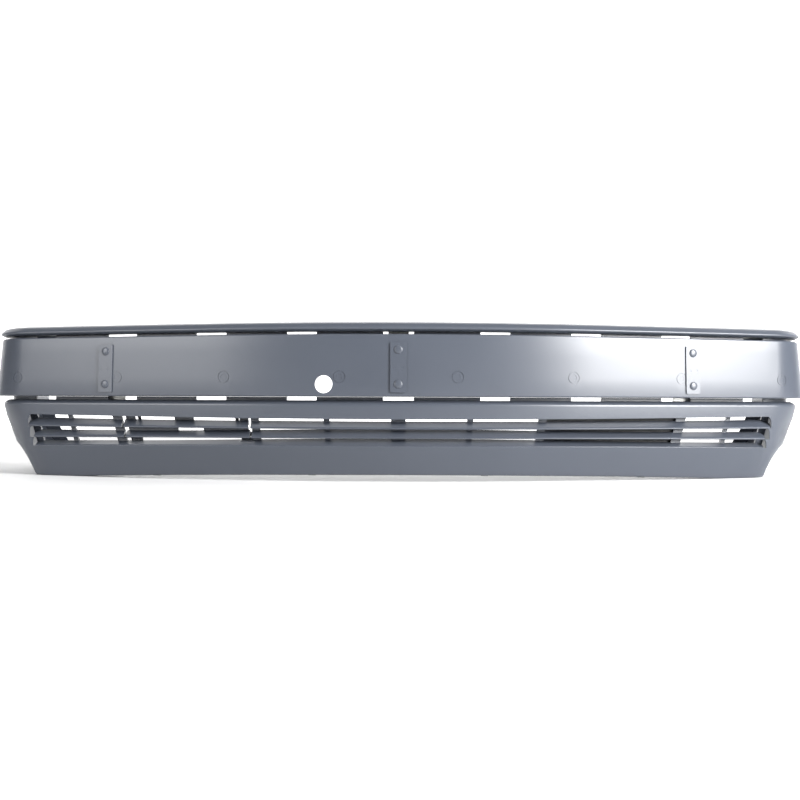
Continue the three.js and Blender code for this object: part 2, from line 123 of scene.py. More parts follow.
band = {"top": 294.5, "bottom": 171, "lean": 4, "cornerIn": 5, "cornerOut": 5}
valance = {
    "top": 164,
    "tuck": 66,  # how far its bottom edge goes in at the corners
    "tuckFrom": 157,
    "tuckPower": 1.6,
    "tuckBefore": 30,  # lengths around the corner's start over which the tuck comes in
    "tuckAfter": 90,
    "deepest": -116,
    "arch": 15,
    "archHalf": 700,
    "archBelow": 66,
}
grille = {"top": 126.8, "halfWidth": 797, "face": -9, "lean": 0.0005}
rearLift = {
    "upper": 1,
    "lower": 5,
    "from": 120,
    "to": 560,
    "low": 66,
    "split": 110,
    "high": 140,
    "startOut": 12,
    "depth": 21,
}
fanKnots = [(0, 0), (78, -8.8), (127, 5.7), (157, 0)]


def plainForm(s, out, up):
    return s, out, up


def bandForm(s, out, up):
    low = (band["top"] - up) / (band["top"] - band["bottom"])
    lean = -band["cornerIn"] + (band["cornerIn"] + band["cornerOut"]) * low
    return s, out + cornerShare(s) * lean, up


def fanShift(up):
    for (lowUp, lowShift), (highUp, highShift) in zip(fanKnots, fanKnots[1:]):
        if lowUp < up <= highUp:
            return lowShift + (highShift - lowShift) * (up - lowUp) / (highUp - lowUp)
    return 0


def liftAt(x, out, up):
    # the slats' rear edges are higher in the middle, which all but closes the rows there
    if up < rearLift["low"] or up > rearLift["high"]:
        return 0
    most = rearLift["upper"] if up > rearLift["split"] else rearLift["lower"]
    middle = 1 - ease(abs(x), rearLift["from"], rearLift["to"])
    return most * middle * min(1, max(0, (-out - rearLift["startOut"]) / rearLift["depth"]))


def valanceForm(s, out, up):
    drop = min(1, max(0, (valance["tuckFrom"] - up) / valance["tuckFrom"]))
    turned = ease(abs(s), cornerStart - valance["tuckBefore"], cornerStart + valance["tuckAfter"])
    tucked = out - turned * valance["tuck"] * drop ** valance["tuckPower"]
    x = planAt(s)[0]
    fan = min(1, (x / grille["halfWidth"]) ** 2) * (1 - cornerShare(s))
    archRise = valance["arch"] * max(0, 1 - (x / valance["archHalf"]) ** 2)
    height = up + fan * fanShift(up) + liftAt(x, out, up)
    height += archRise * max(0, 1 - up / valance["archBelow"])
    return s, max(tucked, valance["deepest"]), height


def straightBack(s, out):
    # ends of the grille's parts run parallel to the car's length
    return s - (out - grille["face"]) * math.tan(planAt(s)[2])


def grilleForm(s, out, up):
    return valanceForm(straightBack(s * (1 - grille["lean"] * (grille["top"] - up)), out), out, up)


def spot(form, s, out, up):
    s, out, up = form(s, out, up)
    x, y, heading = planAt(s)
    return Vector((x + out * math.sin(heading), y - out * math.cos(heading), up))


def toFrame(point):
    return Vector((point[0] * mm, point[1] * mm + noseY, point[2] * mm))


# ---- modelling a moulding: straight first, then bent along the line ----


def vertsOf(made):
    return [item for item in made["geom"] if isinstance(item, bmesh.types.BMVert)]


def joinInto(bm, other):
    # adds another bmesh to bm and frees it
    spare = bpy.data.meshes.new("spare")
    other.to_mesh(spare)
    other.free()
    bm.from_mesh(spare)
    bpy.data.meshes.remove(spare)


def insetLine(line, by, pull=0.0):
    # the line moved inwards, which is to the right of the way it runs; pull shortens its ends
    points = [Vector((out, up)) for out, up, fold in line]
    runs = [(b - a).normalized() for a, b in zip(points, points[1:])]
    points[0] += runs[0] * pull
    points[-1] -= runs[-1] * pull
    moved = []
    for i, point in enumerate(points):
        before = runs[max(i - 1, 0)]
        after = runs[min(i, len(runs) - 1)]
        side = Vector((before.y + after.y, -before.x - after.x)) / (1 + before.dot(after))
        moved.append(tuple(point + side * by))
    return moved


def foldedSheet(line, start, end, thick):
    # line is [(out, up, radius of the fold)], from the top edge to the bottom edge
    outer = [(out, up) for out, up, fold in line]
    folds = [(i, fold) for i, (out, up, fold) in enumerate(line) if fold]
    return prism(outer + insetLine(line, thick)[::-1], start, end, folds)


def prism(corners, start, end, rounds=()):
    # a closed bar between two lengths; corners are [(out, up)], rounds are [(corner, radius)]
    bm = bmesh.new()
    face = bm.faces.new([bm.verts.new((start, -out, up)) for out, up in corners])
    made = bmesh.ops.extrude_face_region(bm, geom=[face])
    bmesh.ops.translate(bm, verts=vertsOf(made), vec=(end - start, 0, 0))
    for index, radius in rounds:
        out, up = corners[index]
        crease = [
            e for e in bm.edges
            if all(abs(v.co.y + out) < 1e-3 and abs(v.co.z - up) < 1e-3 for v in e.verts)
        ]
        bmesh.ops.bevel(bm, geom=crease, offset=radius, segments=4, profile=0.5, affect="EDGES",
                        clamp_overlap=True, material=-1)
    bmesh.ops.recalc_face_normals(bm, faces=bm.faces[:])
    return bm


def block(s0, s1, out0, out1, up0, up1):
    return prism([(out0, up0), (out1, up0), (out1, up1), (out0, up1)], s0, s1)


def upright(radius, s, out, up, depth, segments=32, tilt=0.0):
    # a round bar whose axis points out of the face
    bm = bmesh.new()
    bmesh.ops.create_cone(bm, cap_ends=True, segments=segments, radius1=radius, radius2=radius,
                          depth=depth)
    turn = Matrix.Rotation(math.radians(90) - tilt, 4, "X")
    bmesh.ops.transform(bm, matrix=Matrix.Translation((s, -out, up)) @ turn, verts=bm.verts)
    return bm


def spun(profile, steps=32):
    # a turned piece about +Z; profile points are (radius, height)
    bm = bmesh.new()
    verts = [bm.verts.new((radius, 0, height)) for radius, height in profile]
    edges = [bm.edges.new(pair) for pair in zip(verts, verts[1:])]
    bmesh.ops.spin(bm, geom=verts + edges, cent=(0, 0, 0), axis=(0, 0, 1), angle=2 * math.pi,
                   steps=steps, use_merge=True)
    bmesh.ops.remove_doubles(bm, verts=bm.verts, dist=1e-4)
    bmesh.ops.recalc_face_normals(bm, faces=bm.faces[:])
    return bm


def facing(bm):
    # turns a piece spun about +Z so that its top looks out of the cover's face
    bmesh.ops.rotate(bm, cent=(0, 0, 0), matrix=Matrix.Rotation(math.radians(90), 3, "X"),
                     verts=bm.verts)
    return bm


def together(parts):
    whole = bmesh.new()
    for part in parts:
        joinInto(whole, part)
    return whole


def combine(bm, other, way):
    # one boolean step; both meshes are used up
    meshes = []
    for source in (bm, other):
        bmesh.ops.recalc_face_normals(source, faces=source.faces[:])
        mesh = bpy.data.meshes.new("step")
        source.to_mesh(mesh)
        source.free()
        meshes.append(mesh)
    bodies = [bpy.data.objects.new("step", mesh) for mesh in meshes]
    for body in bodies:
        bpy.context.scene.collection.objects.link(body)
    cut = bodies[0].modifiers.new("cut", "BOOLEAN")
    cut.operation = way
    cut.solver = "EXACT"
    cut.object = bodies[1]
    depsgraph = bpy.context.evaluated_depsgraph_get()
    result = bmesh.new()
    result.from_mesh(bodies[0].evaluated_get(depsgraph).to_mesh())
    for body in bodies:
        bpy.data.objects.remove(body)
    for mesh in meshes:
        bpy.data.meshes.remove(mesh)
    bmesh.ops.remove_doubles(result, verts=result.verts, dist=0.002)
    return result


def cutStations(bm):
    # a cut across the straight bar wherever the bend needs one
    for s in sorted({s for station in stations for s in (station, -station)}):
        bmesh.ops.bisect_plane(bm, geom=bm.verts[:] + bm.edges[:] + bm.faces[:], dist=1e-4,
                               plane_co=(s, 0, 0), plane_no=(1, 0, 0))


def bend(bm, form):
    cutStations(bm)
    for v in bm.verts:
        v.co = toFrame(spot(form, v.co.x, -v.co.y, v.co.z))
    return bm


def placeAt(bm, s, out, up, tilt=0.0):
    # stands a piece made in mm about the origin, facing -Y, on the cover
    x, y, heading = planAt(s)
    point = toFrame(spot(plainForm, s, out, up))
    turn = Matrix.Rotation(heading, 4, "Z") @ Matrix.Rotation(-tilt, 4, "X")
    bmesh.ops.transform(bm, matrix=Matrix.Translation(point) @ turn @ Matrix.Scale(mm, 4),
                        verts=bm.verts)
    return bm


def finishPiece(name, bm, paint, nodes, body="cover", edge=0.35, sharp=38):
    bmesh.ops.remove_doubles(bm, verts=bm.verts, dist=1e-6)
    for f in bm.faces:
        f.smooth = True
    for e in bm.edges:
        flat = len(e.link_faces) == 2 and e.calc_face_angle(0) < math.radians(sharp)
        e.smooth = flat
    mesh = bpy.data.meshes.new(name)
    bm.to_mesh(mesh)
    bm.free()
    mesh.materials.append(paint)
    piece = bpy.data.objects.new(name, mesh)
    bpy.context.scene.collection.objects.link(piece)
    if edge:
        round_ = piece.modifiers.new("roundedEdges", "BEVEL")
        round_.width = edge * mm
        round_.segments = 2
        round_.limit_method = "ANGLE"
        round_.angle_limit = math.radians(sharp)
        round_.harden_normals = True
        round_.use_clamp_overlap = True
    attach(piece, body)
    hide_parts(*nodes)
    return piece


# ---- shader maths ----


class Value:
    # a socket that can be used in Python sums
    def __init__(self, tree, socket):
        self.tree = tree
        self.socket = socket

    def step(self, operation, first, second):
        node = self.tree.nodes.new("ShaderNodeMath")
        node.operation = operation
        for slot, item in zip(node.inputs, (first, second)):
            if isinstance(item, Value):
                self.tree.links.new(item.socket, slot)
            else:
                slot.default_value = item
        return Value(self.tree, node.outputs[0])

    def __add__(self, other):
        return self.step("ADD", self, other)

    __radd__ = __add__

    def __sub__(self, other):
        return self.step("SUBTRACT", self, other)

    def __rsub__(self, other):
        return self.step("SUBTRACT", other, self)

    def __mul__(self, other):
        return self.step("MULTIPLY", self, other)

    __rmul__ = __mul__

    def __pow__(self, other):
        return self.step("POWER", self, other)

    def clamped(self):
        return self.step("MINIMUM", self.step("MAXIMUM", self, 0.0), 1.0)


class Finish:
    # a material being built
    def __init__(self, name):
        self.material = bpy.data.materials.new(name)
        self.material.use_nodes = True
        self.tree = self.material.node_tree
        self.shader = self.tree.nodes["Principled BSDF"]
        self.place = self.node("ShaderNodeTexCoord").node.outputs["Object"]

    def node(self, kind, settings=None, out=0, **sockets):
        node = self.tree.nodes.new(kind)
        for key, value in (settings or {}).items():
            if key == "stops":
                for i, (at, colour) in enumerate(value):
                    stop = node.color_ramp.elements[i] if i < 2 else node.color_ramp.elements.new(at)
                    stop.position = at
                    stop.color = colour
            else:
                setattr(node, key, value)
        for key, value in sockets.items():
            slot = next(s for s in node.inputs if s.name.replace(" ", "") == key and s.enabled)
            if isinstance(value, Value):
                value = value.socket
            if isinstance(value, bpy.types.NodeSocket):
                self.tree.links.new(value, slot)
            else:
                slot.default_value = value
        result = Value(self.tree, node.outputs[out])
        result.node = node
        return result

    def noise(self, scale, detail=2.0, roughness=0.5, stretch=(1, 1, 1)):
        scaled = self.node("ShaderNodeMapping", Vector=self.place, Scale=stretch)
        return self.node("ShaderNodeTexNoise", Vector=scaled, Scale=scale, Detail=detail,
                         Roughness=roughness)

    def mix(self, factor, first, second):
        node = self.tree.nodes.new("ShaderNodeMix")
        node.data_type = "RGBA"
        for index, item in ((0, factor), (6, first), (7, second)):
            if isinstance(item, Value):
                self.tree.links.new(item.socket, node.inputs[index])
            else:
                node.inputs[index].default_value = item if index == 0 else (*item, 1)
        return Value(self.tree, node.outputs[2])

    def bump(self, height, distance, strength=1.0):
        return self.node("ShaderNodeBump", Height=height, Distance=distance, Strength=strength)

    def set(self, **sockets):
        for key, value in sockets.items():
            slot = next(s for s in self.shader.inputs if s.name.replace(" ", "") == key)
            if isinstance(value, Value):
                self.tree.links.new(value.socket, slot)
            else:
                slot.default_value = value
        return self.material


def primerFinish():
    # grey two-pack primer: satin, faint orange peel, fine dry grain, light scuffs
    look = {"shade": (0.047, 0.054, 0.069), "pale": (0.063, 0.071, 0.089), "rough": 0.3}
    paint = Finish("greyPrimer")
    drift = paint.noise(5.0, 3.0)
    grain = paint.noise(2600.0, 2.0, 0.6)
    peel = paint.noise(420.0, 1.5, 0.4)
    scuffs = (paint.noise(38.0, 6.0, 0.7, (1, 1, 3)) - 0.6).clamped()
    tone = (drift * 0.5 + grain * 0.35 + scuffs * 0.8).clamped()
    colour = paint.mix(tone, look["shade"], look["pale"])
    rough = (drift * 0.08 + grain * 0.06 + scuffs * 0.25 + (look["rough"] - 0.05)).clamped()
    surface = paint.bump(peel * 0.7 + grain * 0.3, 0.00006, 0.35)
    return paint.set(BaseColor=colour, Roughness=rough, Normal=surface)


def blackPlasticFinish():
    paint = Finish("mouldedBlackPlastic")
    grain = paint.noise(1500.0, 3.0, 0.6)
    drift = paint.noise(20.0, 2.0)
    colour = paint.mix(drift, (0.011, 0.0115, 0.0125), (0.022, 0.0225, 0.024))
    surface = paint.bump(grain, 0.00008, 0.5)
    return paint.set(BaseColor=colour, Roughness=grain * 0.15 + 0.5, Normal=surface)


def zincFinish():
    # dull zinc plating: cloudy, with darker stains and fine scratches
    paint = Finish("zincPlate")
    cloud = paint.noise(60.0, 4.0, 0.6)
    scratch = paint.noise(900.0, 2.0, 0.5, (1, 1, 14))
    colour = paint.mix(cloud, (0.36, 0.36, 0.35), (0.52, 0.52, 0.5))
    surface = paint.bump(scratch, 0.00003, 0.5)
    return paint.set(BaseColor=colour, Metallic=1.0, Roughness=cloud * 0.25 + 0.28, Normal=surface)


def springSteelFinish():
    paint = Finish("phosphatedSpringSteel")
    grain = paint.noise(1800.0, 3.0, 0.6)
    colour = paint.mix(grain, (0.03, 0.032, 0.036), (0.07, 0.072, 0.078))
    surface = paint.bump(grain, 0.00003, 0.5)
    return paint.set(BaseColor=colour, Metallic=0.8, Roughness=grain * 0.2 + 0.36, Normal=surface)


primer = primerFinish()
blackPlastic = blackPlasticFinish()
zinc = zincFinish()
springSteel = springSteelFinish()


# ---- the three long mouldings ----

clipSlots = [(0, 62), (197, 62), (388.5, 68), (586, 69), (766, 51)]  # x of the middle, width


def slotBlocks(low, high):
    blocks = []
    for x, width in clipSlots:
        for side in ((1,) if x == 0 else (-1, 1)):
            s = lengthAt(side * x) if x else 0
            blocks.append(block(s - width / 2, s + width / 2, -70, -20, low, high))
    return together(blocks)


def wheelArch(radius, depth=400):
    # the round of the wheel arch, across both wings of the straight bar
    s = cornerEnd + planLine["archBehindNose"] - planAt(cornerEnd)[1]
    rounds = [upright(radius, side * s, 0, planLine["archHeight"], depth, 160) for side in (-1, 1)]
    return together(rounds)


def moulding(line, thick, extra=None):
    # the folded sheet, with its wheel-arch edges turned in as flanges
    corners = insetLine(line, thick / 2, 1.0)
    ends = [(-reach + 5, -cornerEnd - 60), (cornerEnd + 60, reach - 5)]
    rims = together([prism(corners, start, end) for start, end in ends])
    rims = combine(rims, wheelArch(planLine["archRadius"] + thick), "INTERSECT")
    body = combine(foldedSheet(line, -reach, reach, thick), rims, "UNION")
    if extra:
        body = combine(body, extra, "UNION")
    return combine(body, wheelArch(planLine["archRadius"]), "DIFFERENCE")


def makeUpperLip():
    lip = {"flange": 72, "groove": 34, "top": 321, "bottom": 300, "thick": 3}
    line = [
        (-lip["flange"], lip["top"], 0),
        (-30, lip["top"], 8),
        (-10, 316.5, 3),
        (-1.2, 308.5, 1.5),
        (0, 306, 1.2),
        (-1.2, 303.8, 1),
        (-9, lip["bottom"], 2),
        (-lip["groove"], lip["bottom"], 0),
    ]
    land = block(-reach + 2, reach - 2, -30, -26, band["top"] + 0.3, lip["bottom"] + 1)
    land = combine(land, slotBlocks(band["top"] - 2, lip["bottom"] + 3), "DIFFERENCE")
    body = moulding(line, lip["thick"], land)
    finishPiece("upperLip", bend(body, plainForm), primer, ["upper_lip"])


def bandFace(up):
    return band["lean"] * (band["top"] - up) / (band["top"] - band["bottom"])


bandTilt = math.atan(band["lean"] / (band["top"] - band["bottom"]))
padPlaces = {"left": -606, "centre": 0, "right": 606}
rivetUps = {"upper": 263.4, "lower": 195.7}


def makeCentreBand():
    dimple = {"at": (116, 349, 581.5, 814), "up": 210, "outer": 12, "groove": 1.1, "depth": 0.8}
    line = [
        (-34, band["top"], 0),
        (-2, band["top"], 1.5),
        (bandFace(292.5), 292.5, 1.1),
        (bandFace(173), 173, 1.1),
        (2, band["bottom"], 1.5),
        (-34, band["bottom"], 0),
    ]
    body = moulding(line, 3)
    rings = []
    for x in dimple["at"]:
        for side in (-1, 1):
            s = lengthAt(side * x)
            out = bandFace(dimple["up"])
            up = dimple["up"]
            inner = dimple["outer"] - dimple["groove"]
            groove = upright(dimple["outer"], s, out, up, dimple["depth"] * 2, 40, bandTilt)
            island = upright(inner, s, out, up, 6, 40, bandTilt)
            rings.append(combine(groove, island, "DIFFERENCE"))
            rings.append(upright(6, s, out, dimple["up"], dimple["depth"] * 1.4, 28, bandTilt))
    body = combine(body, together(rings), "DIFFERENCE")
    holes = [upright(17.5, lengthAt(-146.5), 0, 195.5, 40, 64)]
    for x in padPlaces.values():
        s = lengthAt(x) if x else 0
        holes += [upright(3.3, s, 0, up, 40, 20) for up in rivetUps.values()]
    holes += [upright(2.8, s, bandFace(up), up, 40, 20) for s, up in guideRivets]
    body = combine(body, together(holes), "DIFFERENCE")
    finishPiece("centreBand", bend(body, bandForm), primer, ["centre_band"])


slats = {"upper": (121.3, 106.7), "lower": (101.2, 88.6)}  # height of the rear and front edges
flap = {"outer": -577.5, "inner": -305.2, "slot": 4.9, "pivotOut": -16.5, "pivotUp": 90.5}
flapPin = {"radius": 1.5, "hole": 1.8, "boss": 3.4, "bossLength": 9}


def rake(bm):
    for v in bm.verts:
        v.co.x = straightBack(v.co.x, -v.co.y)
    return bm


def lean(bm):
    # ends of the grille's parts lean towards the middle lower down
    for v in bm.verts:
        v.co.x *= 1 - grille["lean"] * (grille["top"] - v.co.z)
    return rake(bm)


def slatBar(slat, start, end, roundEnds=()):
    rear, front = slats[slat]
    face = -8 - (grille["top"] - front) / 52.8 + 0.15  # just proud of the skin
    corners = [
        (-33, rear),
        (-11.2, front + 4.4),
        (face, front + 2.3),
        (face, front + 0.9),
        (-9.8, front),
        (-12.4, front + 1),
        (-34.6, rear - 2.8),
    ]
    bm = prism(corners, start, end, [(1, 1.5)])
    for s in roundEnds:  # the slat's rear corner is rounded off where it meets the skin
        corner = [
            e for e in bm.edges
            if all(abs(v.co.x - s) < 1e-3 and v.co.y > 32 for v in e.verts)
        ]
        bmesh.ops.bevel(bm, geom=corner, offset=21, segments=8, profile=0.5, affect="EDGES",
                        clamp_overlap=True, material=-1)
    return bm


def mouthCutters():
    rows = [  # x of the end, low, high, radius of its upper outer corner
        (798, 107.2, grille["top"], 11),
        (794, 89.0, 107.3, 8),
        (786, 73.5, 89.1, 7),
    ]
    cutters = []
    for x, low, high, radius in rows:
        end = lengthAt(x)
        cutter = block(-end, end, -22, 14, low, high)
        corner = [
            e for e in cutter.edges
            if all(abs(abs(v.co.x) - end) < 1e-3 and abs(v.co.z - high) < 1e-3 for v in e.verts)
        ]
        bmesh.ops.bevel(cutter, geom=corner, offset=radius, segments=8, profile=0.5, affect="EDGES",
                        clamp_overlap=True, material=-1)
        cutters.append(rake(cutter))
    return cutters


def hingeEnds():
    return [
        spot(grilleForm, lengthAt(x), flap["pivotOut"], flap["pivotUp"])
        for x in (flap["outer"] - flap["slot"], flap["inner"] + flap["slot"])
    ]


def alongHinge(radius, start, end, hole=0.0, chamfer=0.3):
    # a turned bar on the flap's hinge line, in the frame's metres
    first, last = hingeEnds()
    way = (last - first).normalized()
    profile = [
        (hole, start),
        (radius - chamfer, start),
        (radius, start + chamfer),
        (radius, end - chamfer),
        (radius - chamfer, end),
        (hole, end),
    ]
    bm = spun(profile + [profile[0]] if hole else profile, 32)
    turn = way.to_track_quat("Z", "Y").to_matrix().to_4x4()
    bmesh.ops.transform(bm, matrix=Matrix.Translation(toFrame(first)) @ turn @ Matrix.Scale(mm, 4),
                        verts=bm.verts)
    return bm


def makeLowerValance():
    line = [
        (-36, valance["top"], 0),
        (-18, valance["top"], 2),
        (-8.5, 158.8, 2),
        (-6.3, 155, 2.5),
        (-8, grille["top"], 0),
        (-9, 74, 0),
        (-33.5, 4, 2),
        (-37, 0, 2),
        (-60, 0, 0),
    ]
    land = block(-reach + 2, reach - 2, -30, -26, valance["top"] - 1, band["bottom"] - 0.3)
    land = combine(land, slotBlocks(valance["top"] - 3, band["bottom"] + 2), "DIFFERENCE")
    body = moulding(line, 3, land)
    for cutter in mouthCutters():
        body = combine(body, cutter, "DIFFERENCE")
    ledge = [(-33, 82.7), (-12, 75.6), (-9.5, 73.9), (-10.7, 70.5), (-12.7, 70.5), (-13.8, 72.8),
             (-34.2, 79.9)]
    ledgeEnd = lengthAt(800)
    ledge = prism(ledge, -ledgeEnd, ledgeEnd, [(1, 2), (2, 0.8)])
    body = combine(body, lean(ledge), "UNION")
    webs = [(-14.5, 14.5)] + [
        ends for low, high in ((138.5, 150.5), (284, 301), (583, 605), (698.5, 709.5), (783.5, 803))
        for ends in ((low, high), (-high, -low))
    ]
    posts = together([block(lengthAt(a), lengthAt(b), -36.5, -30, 68, 131) for a, b in webs])
    body = combine(body, lean(posts), "UNION")
    for slat, x in (("upper", 803), ("lower", 796)):
        end = lengthAt(x)
        halves = together([
            slatBar(slat, -end, lengthAt(flap["outer"] - flap["slot"]), [-end]),
            slatBar(slat, lengthAt(flap["inner"] + flap["slot"]), end, [end]),
        ])
        body = combine(body, lean(halves), "UNION")
    tabs = []
    for a, b in ((-577, -555), (-467, -424.5), (-326, -306.5)):
        tabs.append(foldedSheet([(-9.5, 136, 0), (-41, 136, 2), (-41, 113, 0)][::-1],
                                lengthAt(a), lengthAt(b), 3))
    for a, b in ((-576, -549), (-328, -301)):
        tabs.append(foldedSheet([(-24, 80.6, 0), (-41, 80.6, 2), (-41, 97, 0)][::-1],
                                lengthAt(a), lengthAt(b), 3))
    body = combine(body, lean(together(tabs)), "UNION")
    body = bend(body, valanceForm)
    first, last = hingeEnds()
    span = (last - first).length
    for start, end in ((-flapPin["bossLength"], 0), (span, span + flapPin["bossLength"])):
        joinInto(body, alongHinge(flapPin["boss"], start, end, flapPin["hole"]))
    finishPiece("lowerValance", body, primer, ["lower_valance"])


def makeTowEyeFlap():
    start = lengthAt(flap["outer"])
    end = lengthAt(flap["inner"])
    body = slatBar("upper", start, end)
    body = combine(body, slatBar("lower", start, end), "UNION")
    plates = together([block(lengthAt(a), lengthAt(b), -35.2, -32.4, 99.5, 119.5)
                       for a, b in ((-574, -461), (-406, -308))])
    body = bend(lean(combine(body, plates, "UNION")), valanceForm)
    first, last = hingeEnds()
    span = (last - first).length
    inset = flap["slot"] + 1.5
    for low in (inset, span - inset - flapPin["bossLength"]):
        high = low + flapPin["bossLength"]
        joinInto(body, alongHinge(flapPin["boss"], low, high, flapPin["hole"]))
    finishPiece("towEyeFlap", body, primer, ["tow_eye_flap"], body="flap")


# ---- pads, rivets and steel ----

rivet = {"shank": 3, "hole": 3.3, "head": 8.5, "rise": 2.4}
holder = {"width": 41, "steel": 2.5, "back": 75, "arm": 38, "bolt": 4.5, "fold": 3.5, "behind": 3.4}


def roundCorners(bm, edges, radius, segments=6):
    bmesh.ops.bevel(bm, geom=edges, offset=radius, segments=segments, profile=0.5, affect="EDGES",
                    clamp_overlap=True, material=-1)
    return bm


def makePad(place, x):
    pad = {"width": 32, "height": 98.8, "thick": 2.5, "middle": 228.7, "corner": 3.2, "gap": 0.3}
    out = bandFace(pad["middle"]) + pad["gap"]
    half = pad["width"] / 2
    tall = pad["height"] / 2
    bm = block(-half, half, 0, pad["thick"], -tall, tall)
    corners = [e for e in bm.edges if abs(e.verts[0].co.y - e.verts[1].co.y) > 1]
    roundCorners(bm, corners, pad["corner"])
    holes = [upright(rivet["hole"], 0, 0, up - pad["middle"], 12, 24) for up in rivetUps.values()]
    bm = combine(bm, together(holes), "DIFFERENCE")
    mark = [upright(3.2, side * 7.5, pad["thick"], -2, 0.7, 24) for side in (-1, 1)]
    bm = combine(bm, together(mark), "DIFFERENCE")
    placeAt(bm, lengthAt(x) if x else 0, out, pad["middle"], bandTilt)
    finishPiece("mountingPad_" + place, bm, primer,
                ["mounting_pad_" + place], edge=0.5)


def makePadRivet(place, height, x):
    up = rivetUps[height]
    back = -(3 + 0.4 + holder["steel"] + 0.3)
    front = 3.1
    rim = rivet["head"]
    profile = [
        (0, back - 2),
        (4.2, back - 2),
        (4.6, back - 1.6),
        (4.6, back),
        (rivet["shank"], back),
        (rivet["shank"], front),
        (rim, front),
        (rim, front + 0.5),
        (rim * 0.94, front + rivet["rise"] * 0.45),
        (rim * 0.78, front + rivet["rise"] * 0.72),
        (rim * 0.52, front + rivet["rise"] * 0.92),
        (rim * 0.24, front + rivet["rise"]),
        (0, front + rivet["rise"]),
    ]
    bm = placeAt(facing(spun(profile)), lengthAt(x) if x else 0, bandFace(up), up, bandTilt)
    name = "padRivet_" + place + "_" + height
    node = "pad_rivet_" + place + "_" + height
    finishPiece(name, bm, primer, [node], edge=0.2)


def makeHolder(place, x):
    front = [(bandFace(up) - holder["behind"], up, holder["fold"]) for up in (288, 181)]
    if x == 0:
        line = [(-holder["arm"], 314, 0), (-holder["arm"], 288, holder["fold"]), *front,
                (-holder["back"], 181, holder["fold"]), (-holder["back"], 233, 0)]
        bolt = 212
    else:
        line = [(-holder["back"], 236, 0), (-holder["back"], 288, holder["fold"]), *front,
                (-holder["arm"], 181, holder["fold"]), (-holder["arm"], 142, 0)]
        bolt = 256
    half = holder["width"] / 2
    bm = foldedSheet(line, -half, half, holder["steel"])
    ends = (line[0][1], line[-1][1])
    corners = [
        e for e in bm.edges
        if e.calc_length() < holder["steel"] + 0.01
        and all(abs(abs(v.co.x) - half) < 1e-3 for v in e.verts)
        and all(min(abs(v.co.z - up) for up in ends) < 1e-3 for v in e.verts)
    ]
    roundCorners(bm, corners, 5)
    holes = [
        upright(rivet["hole"], 0, bandFace(up) - 6, up, 14, 24, bandTilt)
        for up in rivetUps.values()
    ]
    holes.append(upright(holder["bolt"], 0, -holder["back"], bolt, 12, 28))
    bm = combine(bm, together(holes), "DIFFERENCE")
    placeAt(bm, lengthAt(x) if x else 0, 0, 0)
    finishPiece("holderBracket_" + place, bm, zinc,
                ["holder_bracket_" + place], edge=0.3)


# ---- the blanking panel behind the grille ----

panel = {"from": 288, "to": 599, "front": -37, "thick": 2, "low": 69, "high": 132}
screwPlaces = [(x, up) for x in (296, 590) for up in (118, 84)]


def makeBlankingPanel():
    start = lengthAt(panel["from"])
    end = lengthAt(panel["to"])
    back = panel["front"] - panel["thick"]
    bm = block(start, end, back, panel["front"], panel["low"], panel["high"])
    roundCorners(bm, [e for e in bm.edges if abs(e.verts[0].co.y - e.verts[1].co.y) > 1], 6)
    holes = [
        upright(1.8, lengthAt(x), -38, 2 * up - valanceForm(lengthAt(x), -38, up)[2], 12, 16)
        for x, up in screwPlaces
    ]
    bm = combine(bm, together(holes), "DIFFERENCE")
    finishPiece("louvreBlankingPanel", bend(lean(bm), valanceForm), blackPlastic,
                ["louvre_blanking_panel"], edge=0.4)


def makeBlankingScrew(number, x, up):
    head = {"radius": 4, "rise": 2.2, "slot": 0.9, "slotLength": 4.6, "slotDepth": 1.1}
    profile = [
        (0, -2),
        (1.2, -2),
        (1.5, -1.7),
        (1.5, 0),
        (head["radius"], 0),
        (head["radius"], 0.5),
        (head["radius"] * 0.9, 1.4),
        (head["radius"] * 0.65, 2),
        (0, head["rise"]),
    ]
    bm = facing(spun(profile, 28))
    wide = head["slotLength"] / 2
    thin = head["slot"] / 2
    deep = head["rise"] - head["slotDepth"]
    across = block(-wide, wide, deep, 4, -thin, thin)
    cross = combine(across, block(-thin, thin, deep, 4, -wide, wide), "UNION")
    bm = combine(bm, cross, "DIFFERENCE")
    halfTurn = Matrix.Rotation(math.radians(180), 3, "Z")
    bmesh.ops.rotate(bm, cent=(0, 0, 0), matrix=halfTurn, verts=bm.verts)
    s = grilleForm(lengthAt(x), panel["front"], up)[0]
    placeAt(bm, s, panel["front"] - panel["thick"] - 0.3, up)
    finishPiece("blankingScrew_%d" % number, bm, zinc,
                ["blanking_screw_%d" % number], edge=0.12)


# ---- inside the wings ----

guide = {"from": 992, "to": 1146, "low": 206, "high": 262, "edge": -20, "splay": 3, "steel": 3}
guideLean = band["lean"] + band["cornerIn"] + band["cornerOut"]
guideTilt = math.atan(guideLean / (band["top"] - band["bottom"]))
guideRivets = [
    (side * (guide[end] + step), 234)
    for side in (-1, 1)
    for end, step in (("from", 22), ("to", -22))
]


def makeSideGuide(place, side):
    def inner(up):
        return bandFace(up) - 3 - 0.4
    line = [
        (guide["edge"], guide["high"], 0),
        (inner(guide["high"]), guide["high"], 3.2),
        (inner(guide["low"]), guide["low"], 3.2),
        (guide["edge"], guide["low"] - guide["splay"], 0),
    ]
    start, end = sorted((side * guide["from"], side * guide["to"]))
    bm = foldedSheet(line, start, end, guide["steel"])
    holes = [
        upright(2.8, s, bandFace(up), up, 40, 24, guideTilt)
        for s, up in guideRivets if s * side > 0
    ]
    bm = combine(bm, together(holes), "DIFFERENCE")
    finishPiece("sideGuide_" + place, bend(bm, bandForm), zinc,
                ["side_guide_" + place], edge=0.3)


